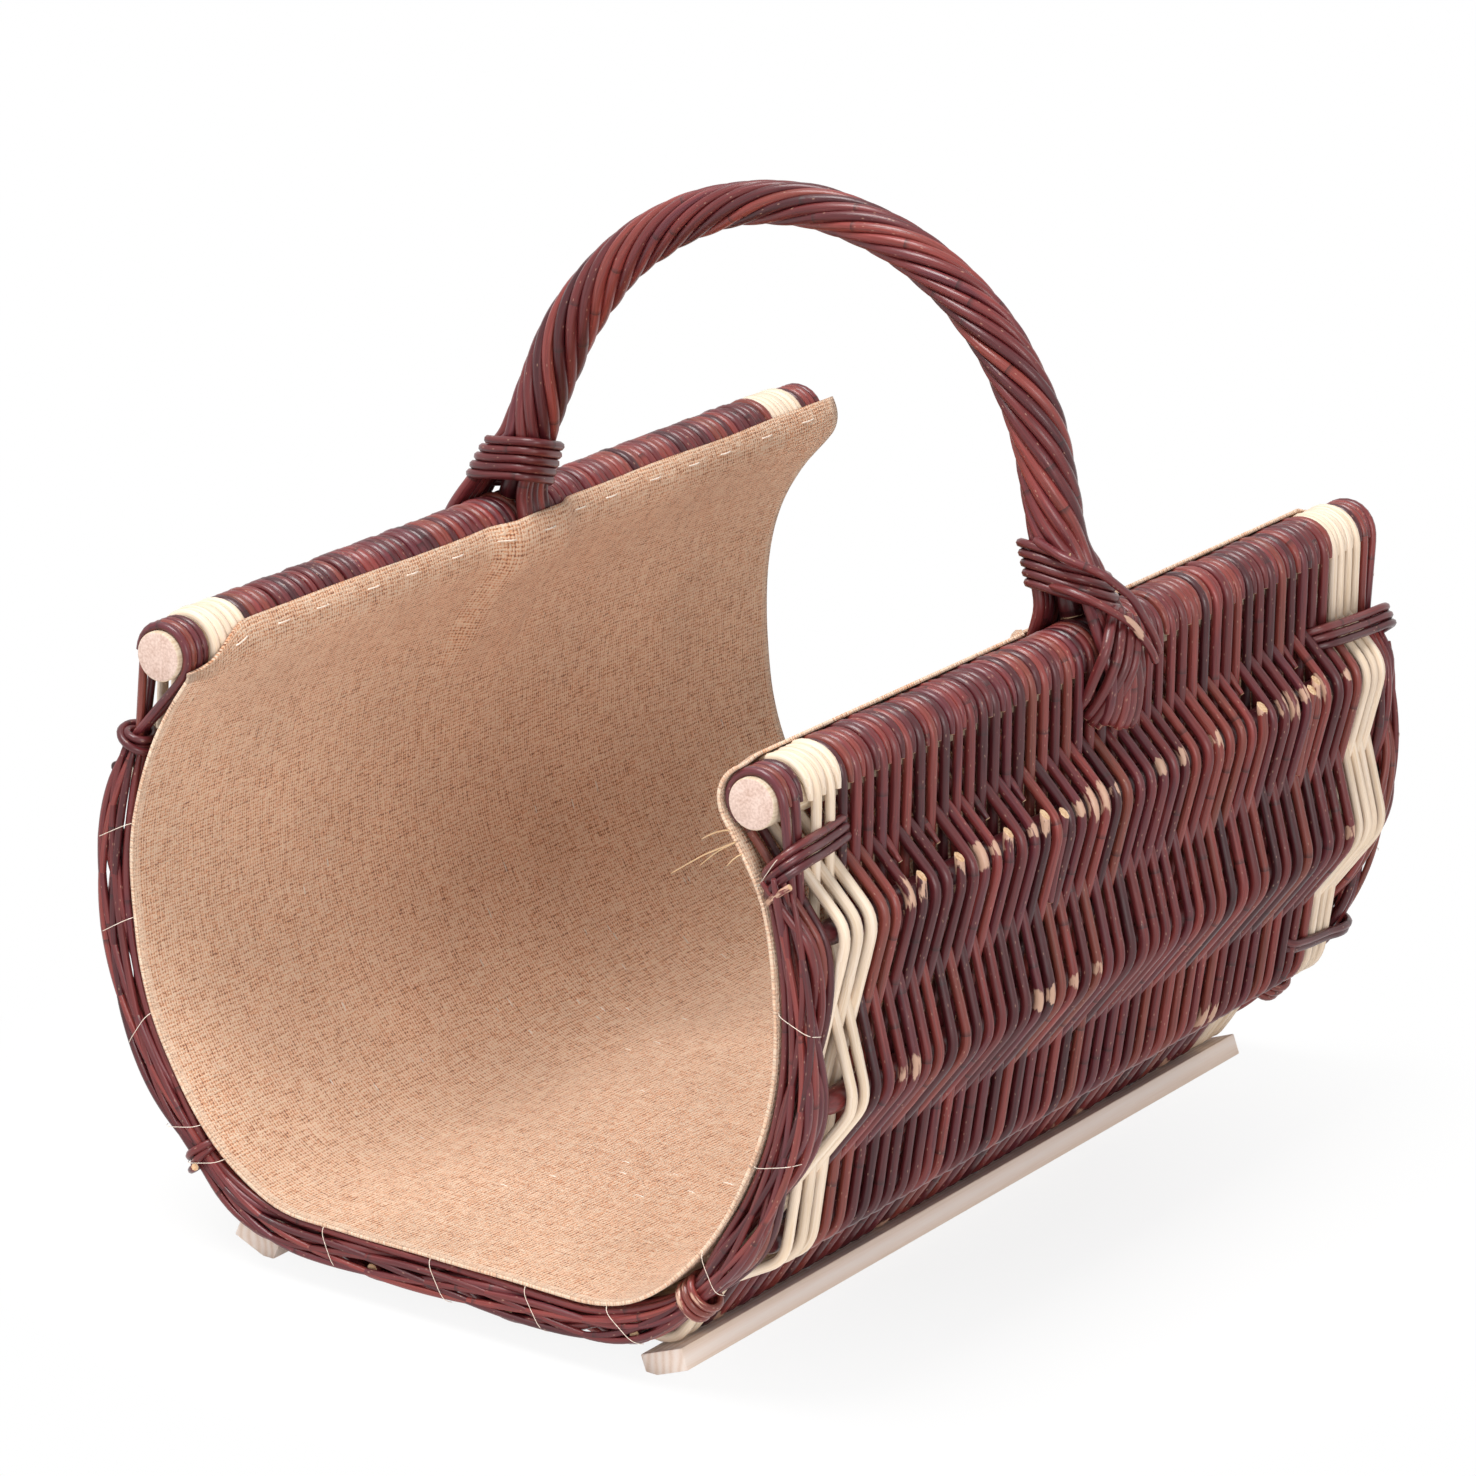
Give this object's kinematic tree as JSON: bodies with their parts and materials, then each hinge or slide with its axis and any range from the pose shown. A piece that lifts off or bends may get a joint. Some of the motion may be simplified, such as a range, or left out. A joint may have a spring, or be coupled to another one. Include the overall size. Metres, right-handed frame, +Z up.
{
  "type": "wicker firewood basket",
  "caption": "Open barrel-shaped log basket of woven willow hung from wooden side rails, lined with jute, with a twisted bow handle and floor runners.",
  "frame": {"origin": "on the floor under the middle of the basket", "axes": "+Z up, +Y along the rails and the logs, +X across the opening to the right rail"},
  "size_m": [0.381, 0.5016, 0.4501],
  "materials": {
    "brown_willow": "dark stained and clear lacquered whole willow rods, satin",
    "cream_willow": "peeled pale willow rods, clear lacquered, satin",
    "peeled_wood": "plain turned dowel, matt",
    "pine": "sawn pine slat with open grain, matt",
    "jute": "plain woven jute cloth, matt and slightly hairy",
    "steel": "plain round nail heads"
  },
  "bodies": {
    "root": {"brown_weave_01": "brown_willow", "brown_weave_02": "brown_willow", "brown_weave_03": "brown_willow", "brown_weave_04": "brown_willow", "brown_weave_05": "brown_willow", "brown_weave_06": "brown_willow", "brown_weave_07": "brown_willow", "brown_weave_08": "brown_willow", "brown_weave_09": "brown_willow", "brown_weave_10": "brown_willow", "brown_weave_11": "brown_willow", "brown_weave_12": "brown_willow", "cream_weave_front_1": "cream_willow", "cream_weave_front_2": "cream_willow", "cream_weave_back_1": "cream_willow", "cream_weave_back_2": "cream_willow", "rim_front_1": "brown_willow", "rim_front_2": "brown_willow", "rim_back_1": "brown_willow", "rim_back_2": "brown_willow", "stake_01": "brown_willow", "stake_02": "brown_willow", "stake_03": "brown_willow", "stake_04": "brown_willow", "stake_05": "brown_willow", "stake_06": "brown_willow", "stake_07": "brown_willow", "stake_08": "brown_willow", "stake_09": "brown_willow", "stake_10": "brown_willow", "tie_front_upper_left": "brown_willow", "tie_front_upper_right": "brown_willow", "tie_front_lower_left": "brown_willow", "tie_front_lower_right": "brown_willow", "tie_back_upper_left": "brown_willow", "tie_back_upper_right": "brown_willow", "tie_back_lower_left": "brown_willow", "tie_back_lower_right": "brown_willow", "handle_core": "brown_willow", "handle_rod_1": "brown_willow", "handle_rod_2": "brown_willow", "handle_rod_3": "brown_willow", "handle_rod_4": "brown_willow", "handle_rod_5": "brown_willow", "handle_rod_6": "brown_willow", "handle_rod_7": "brown_willow", "handle_rod_8": "brown_willow", "handle_collar_left": "brown_willow", "handle_collar_right": "brown_willow", "rail_left": "peeled_wood", "rail_right": "peeled_wood", "runner_left": "pine", "runner_right": "pine", "nail_left_1": "steel", "nail_left_2": "steel", "nail_left_3": "steel", "nail_right_1": "steel", "nail_right_2": "steel", "nail_right_3": "steel", "jute_lining": "jute"}
  },
  "joints": []
}
